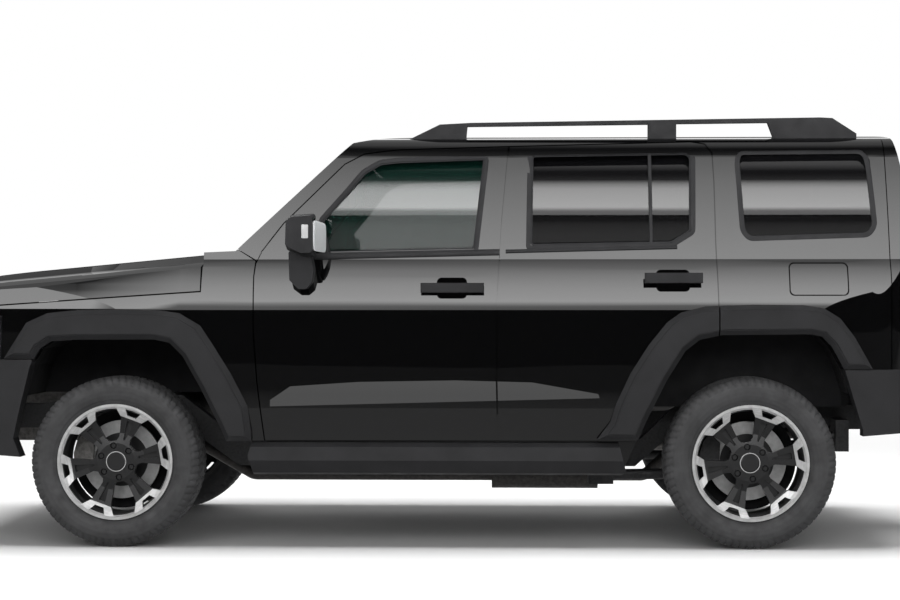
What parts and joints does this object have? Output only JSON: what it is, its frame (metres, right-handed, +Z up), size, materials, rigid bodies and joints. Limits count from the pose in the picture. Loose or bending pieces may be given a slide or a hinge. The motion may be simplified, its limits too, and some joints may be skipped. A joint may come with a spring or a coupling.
{
  "type": "sport utility vehicle",
  "caption": "Boxy body-on-frame sport utility vehicle with opening doors, bonnet and tailgate, steered front wheels, arch flares, roof rails and a spare wheel on the tail.",
  "frame": {"origin": "on the ground under the middle of the overall length and width", "axes": "-X to the front, -Y to the vehicle's left side, +Z up"},
  "size_m": [4.76, 2.24, 1.884],
  "materials": {
    "black_paint": "gloss",
    "satin_trim": "satin",
    "clear_glass": "gloss",
    "dark_glass": "gloss",
    "tyre_rubber": "matte",
    "wheel_alloy": "satin",
    "frame_steel": "satin",
    "cast_metal": "matte",
    "cabin_trim": "matte",
    "seat_leather": "matte",
    "lamp_lens": "gloss",
    "tail_lens": "gloss",
    "exhaust_steel": "satin"
  },
  "bodies": {
    "body": {"arch_flares": "satin_trim", "cowl": "satin_trim", "dashboard": "cabin_trim", "drivetrain": "cast_metal", "exhaust": "exhaust_steel", "fixed_windows": "dark_glass", "floor_pan": "frame_steel", "front_bumper": "satin_trim", "front_suspension": "frame_steel", "fuel_tank": "frame_steel", "grille": "satin_trim", "headlamps": "lamp_lens", "ladder_frame": "frame_steel", "left_body_side": "black_paint", "left_front_wing": "black_paint", "rear_axle": "frame_steel", "rear_bumper": "satin_trim", "rear_corner_panels": "black_paint", "right_body_side": "black_paint", "right_front_wing": "black_paint", "roof": "black_paint", "roof_rails": "satin_trim", "seats": "seat_leather", "side_steps": "satin_trim", "tail_lamps": "tail_lens", "wheel_housings": "satin_trim"},
    "left_knuckle": {"left_knuckle": "cast_metal"},
    "right_knuckle": {"right_knuckle": "cast_metal"},
    "steering_wheel": {"steering_wheel": "cabin_trim"},
    "left_front_wheel": {"left_front_tyre": "tyre_rubber", "left_front_rim": "wheel_alloy"},
    "right_front_wheel": {"right_front_tyre": "tyre_rubber", "right_front_rim": "wheel_alloy"},
    "left_rear_wheel": {"left_rear_tyre": "tyre_rubber", "left_rear_rim": "wheel_alloy"},
    "right_rear_wheel": {"right_rear_tyre": "tyre_rubber", "right_rear_rim": "wheel_alloy"},
    "left_front_door": {"left_front_door": "black_paint", "left_front_door_glass": "clear_glass", "left_front_door_handle": "satin_trim", "left_door_mirror": "satin_trim"},
    "right_front_door": {"right_front_door": "black_paint", "right_front_door_glass": "clear_glass", "right_front_door_handle": "satin_trim", "right_door_mirror": "satin_trim"},
    "left_rear_door": {"left_rear_door": "black_paint", "left_rear_door_glass": "dark_glass", "left_rear_door_trim": "wheel_alloy"},
    "right_rear_door": {"right_rear_door": "black_paint", "right_rear_door_glass": "dark_glass", "right_rear_door_trim": "wheel_alloy"},
    "bonnet": {"bonnet": "black_paint"},
    "tailgate": {"tailgate": "black_paint", "tailgate_glass": "dark_glass", "spare_wheel": "satin_trim"},
    "fuel_flap": {"fuel_flap": "black_paint"}
  },
  "joints": [
    {"name": "left_steer", "type": "hinge", "parent": "body", "child": "left_knuckle", "pos_m": [-1.48, -0.7, 0.37], "axis": [0, 0, 1], "range_deg": [-32, 32]},
    {"name": "right_steer", "type": "hinge", "parent": "body", "child": "right_knuckle", "pos_m": [-1.48, 0.7, 0.37], "axis": [0, 0, 1], "range_deg": [-32, 32]},
    {"name": "left_front_wheel_spin", "type": "hinge", "parent": "left_knuckle", "child": "left_front_wheel", "pos_m": [-1.48, -0.804, 0.37], "axis": [0, 1, 0], "continuous": true},
    {"name": "right_front_wheel_spin", "type": "hinge", "parent": "right_knuckle", "child": "right_front_wheel", "pos_m": [-1.48, 0.804, 0.37], "axis": [0, 1, 0], "continuous": true},
    {"name": "left_rear_wheel_spin", "type": "hinge", "parent": "body", "child": "left_rear_wheel", "pos_m": [1.27, -0.804, 0.37], "axis": [0, 1, 0], "continuous": true},
    {"name": "right_rear_wheel_spin", "type": "hinge", "parent": "body", "child": "right_rear_wheel", "pos_m": [1.27, 0.804, 0.37], "axis": [0, 1, 0], "continuous": true},
    {"name": "steering_wheel_turn", "type": "hinge", "parent": "body", "child": "steering_wheel", "pos_m": [-0.47, -0.385, 1.04], "axis": [0.9514, 0, 0.3078], "range_deg": [-500, 500]},
    {"name": "left_front_door_hinge", "type": "hinge", "parent": "body", "child": "left_front_door", "pos_m": [-0.876, -0.926, 0.9], "axis": [0, 0, -1], "range_deg": [0, 68]},
    {"name": "right_front_door_hinge", "type": "hinge", "parent": "body", "child": "right_front_door", "pos_m": [-0.876, 0.926, 0.9], "axis": [0, 0, 1], "range_deg": [0, 68]},
    {"name": "left_rear_door_hinge", "type": "hinge", "parent": "body", "child": "left_rear_door", "pos_m": [0.18, -0.926, 0.9], "axis": [0, 0, -1], "range_deg": [0, 70]},
    {"name": "right_rear_door_hinge", "type": "hinge", "parent": "body", "child": "right_rear_door", "pos_m": [0.18, 0.926, 0.9], "axis": [0, 0, 1], "range_deg": [0, 70]},
    {"name": "bonnet_hinge", "type": "hinge", "parent": "body", "child": "bonnet", "pos_m": [-1.11, 0, 1.292], "axis": [0, 1, 0], "range_deg": [0, 55]},
    {"name": "tailgate_hinge", "type": "hinge", "parent": "body", "child": "tailgate", "pos_m": [2.032, 0.748, 1.1], "axis": [0, 0, 1], "range_deg": [0, 90]},
    {"name": "fuel_flap_hinge", "type": "hinge", "parent": "body", "child": "fuel_flap", "pos_m": [1.441, -0.924, 1.163], "axis": [0, 0, -1], "range_deg": [0, 100]}
  ],
  "couplings": [
    {"joint": "right_steer", "follows": "left_steer", "ratio": 1},
    {"joint": "steering_wheel_turn", "follows": "left_steer", "ratio": 15}
  ]
}
